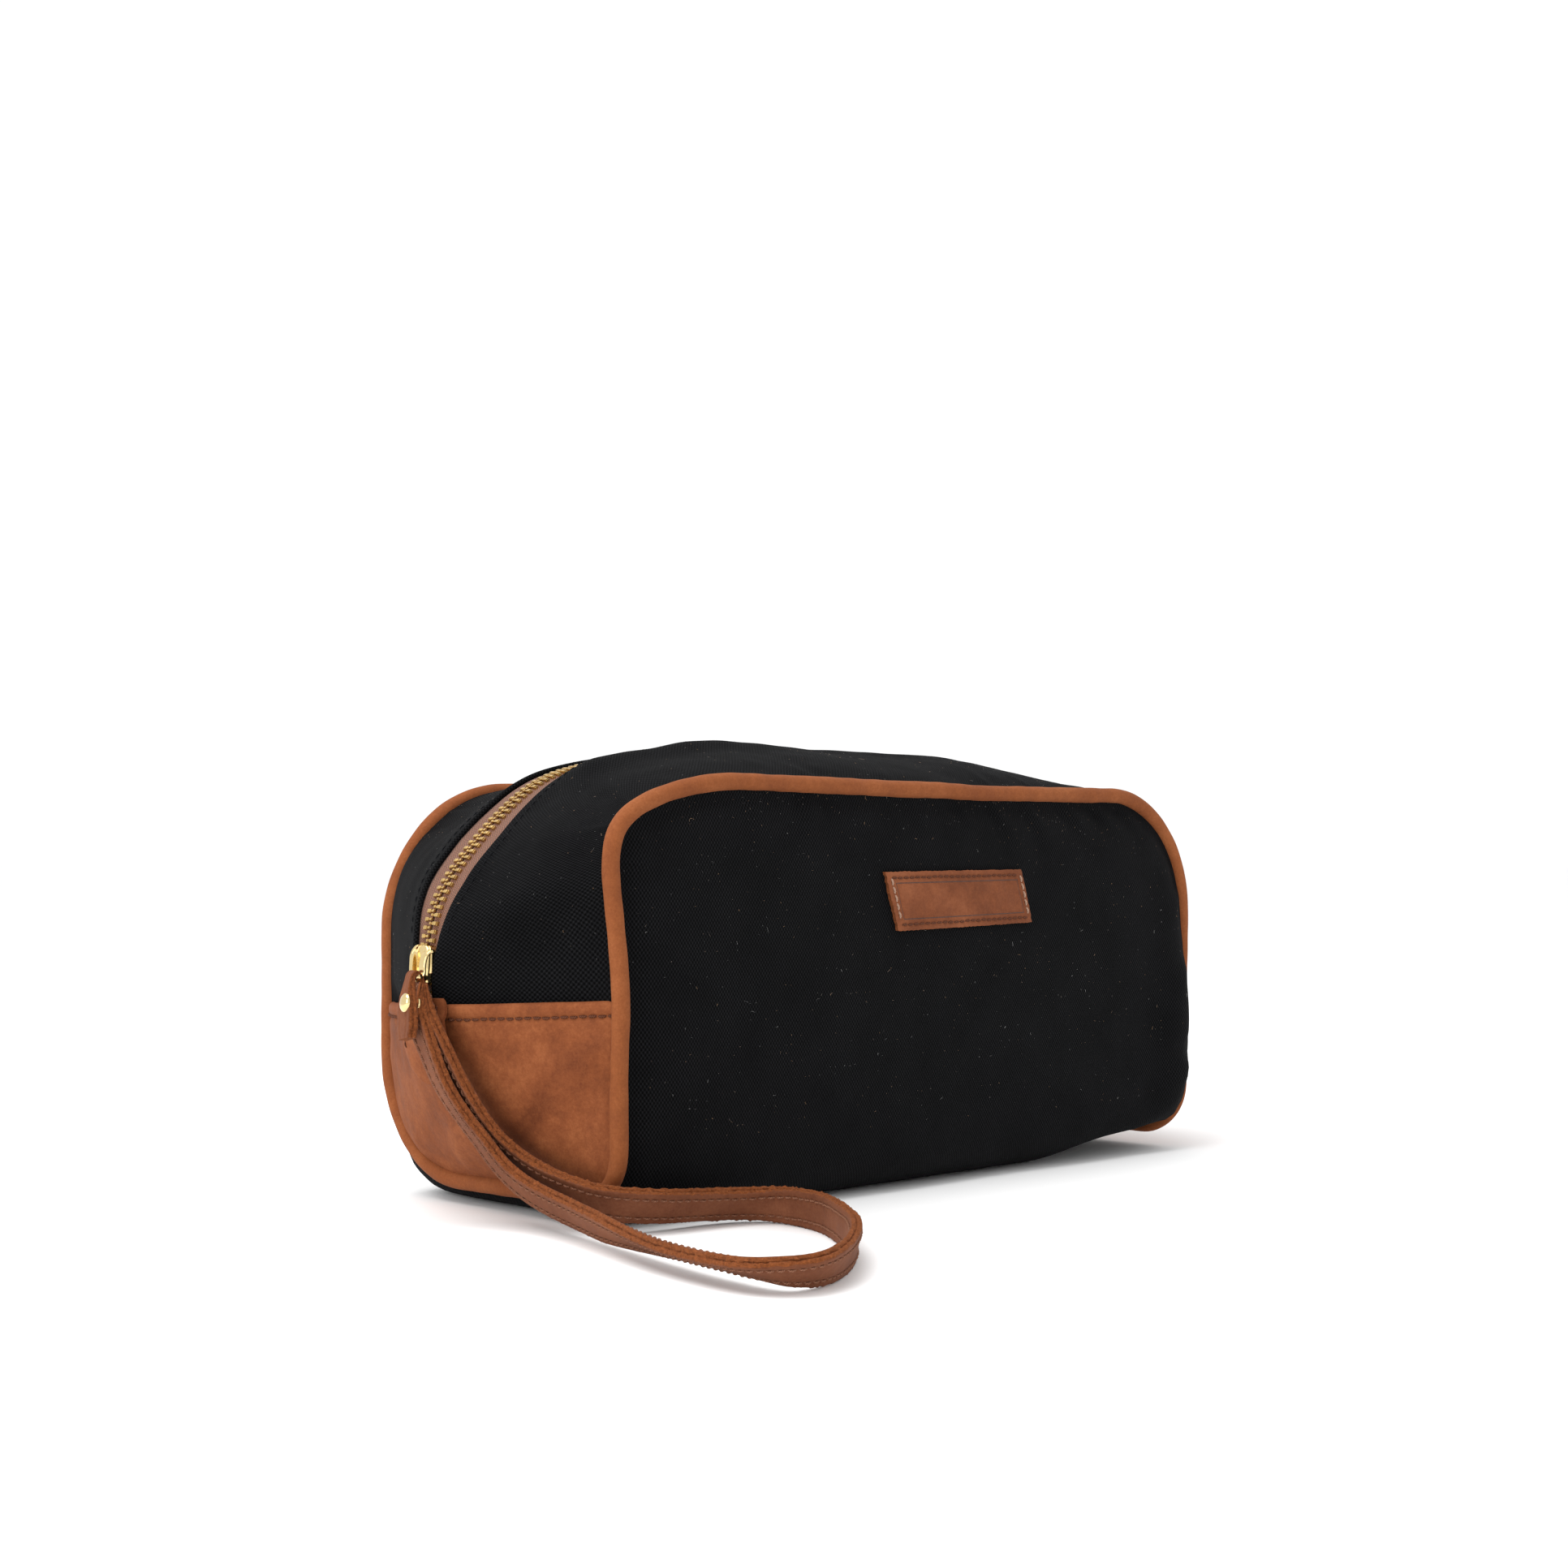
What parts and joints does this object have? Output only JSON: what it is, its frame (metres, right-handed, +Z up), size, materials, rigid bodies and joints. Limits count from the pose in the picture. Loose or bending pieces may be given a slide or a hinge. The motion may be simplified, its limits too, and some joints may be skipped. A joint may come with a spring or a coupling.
{
  "type": "shaving kit bag",
  "caption": "Soft canvas wash bag with leather trim, piping and end panels, a zip over the top and down both ends, and a wrist strap on the slider.",
  "frame": {"origin": "middle of the base, on the surface the bag stands on", "axes": "+X along the bag, with the slider's closed end at -X; the front with the label at -Y; +Z up"},
  "size_m": [0.3311, 0.2148, 0.1386],
  "materials": {
    "canvas": "plain-weave cotton canvas, black, matt",
    "lining": "thin dark cotton lining",
    "zip_tape": "brown herringbone zip tape",
    "piping_cord": "twisted cotton filler cord",
    "trim_leather": "tan nubuck, soft and slightly mottled",
    "strap_leather": "tan nubuck with raw edges, two stitched layers",
    "label_leather": "tan nubuck with a debossed frame",
    "zip_brass": "brass zip teeth, worn bright",
    "polished_brass": "polished pale gold plating"
  },
  "bodies": {
    "bag": {"end_panel_left": "trim_leather", "end_panel_lining_left": "lining", "end_panel_lining_right": "lining", "end_panel_right": "trim_leather", "front_gusset_left": "canvas", "front_gusset_lining_left": "lining", "front_gusset_lining_right": "lining", "front_gusset_right": "canvas", "front_zip_tape_left": "zip_tape", "front_zip_tape_right": "zip_tape", "front_zip_teeth_left": "zip_brass", "front_zip_teeth_right": "zip_brass", "leather_label": "label_leather", "piping_cord": "piping_cord", "piping_cover": "trim_leather", "rear_gusset_left": "canvas", "rear_gusset_lining_left": "lining", "rear_gusset_lining_right": "lining", "rear_gusset_right": "canvas", "rear_zip_tape_left": "zip_tape", "rear_zip_tape_right": "zip_tape", "rear_zip_teeth_left": "zip_brass", "rear_zip_teeth_right": "zip_brass", "wrap_lining": "lining", "wrap_panel": "canvas", "zip_bottom_stop": "zip_brass", "zip_end_tab_left": "trim_leather", "zip_end_tab_right": "trim_leather", "zip_top_stops": "zip_brass"},
    "front_flap": {"front_gusset_lining_middle": "lining", "front_gusset_middle": "canvas", "front_zip_tape_middle": "zip_tape", "front_zip_teeth_middle": "zip_brass"},
    "rear_flap": {"rear_gusset_lining_middle": "lining", "rear_gusset_middle": "canvas", "rear_zip_tape_middle": "zip_tape", "rear_zip_teeth_middle": "zip_brass"},
    "slider": {"slider_body": "polished_brass", "slider_bridge": "polished_brass", "strap_thong": "strap_leather", "rivet_cap": "polished_brass", "rivet_post": "polished_brass"},
    "strap": {"wrist_strap": "strap_leather"}
  },
  "joints": [
    {"name": "front_flap_open", "type": "hinge", "parent": "bag", "child": "front_flap", "pos_m": [0, -0.055, 0.125], "axis": [1, 0, 0], "range_deg": [0, 70]},
    {"name": "rear_flap_open", "type": "hinge", "parent": "bag", "child": "rear_flap", "pos_m": [0, 0.055, 0.125], "axis": [-1, 0, 0], "range_deg": [0, 70]},
    {"name": "slider_travel", "type": "hinge", "parent": "bag", "child": "slider", "pos_m": [-0.1, 0, 0.07], "axis": [0, 1, 0], "range_deg": [0, 70]},
    {"name": "strap_swing", "type": "hinge", "parent": "slider", "child": "strap", "pos_m": [-0.1655, -0.003, 0.0532], "axis": [0, 0, -1], "range_deg": [0, 75]}
  ]
}
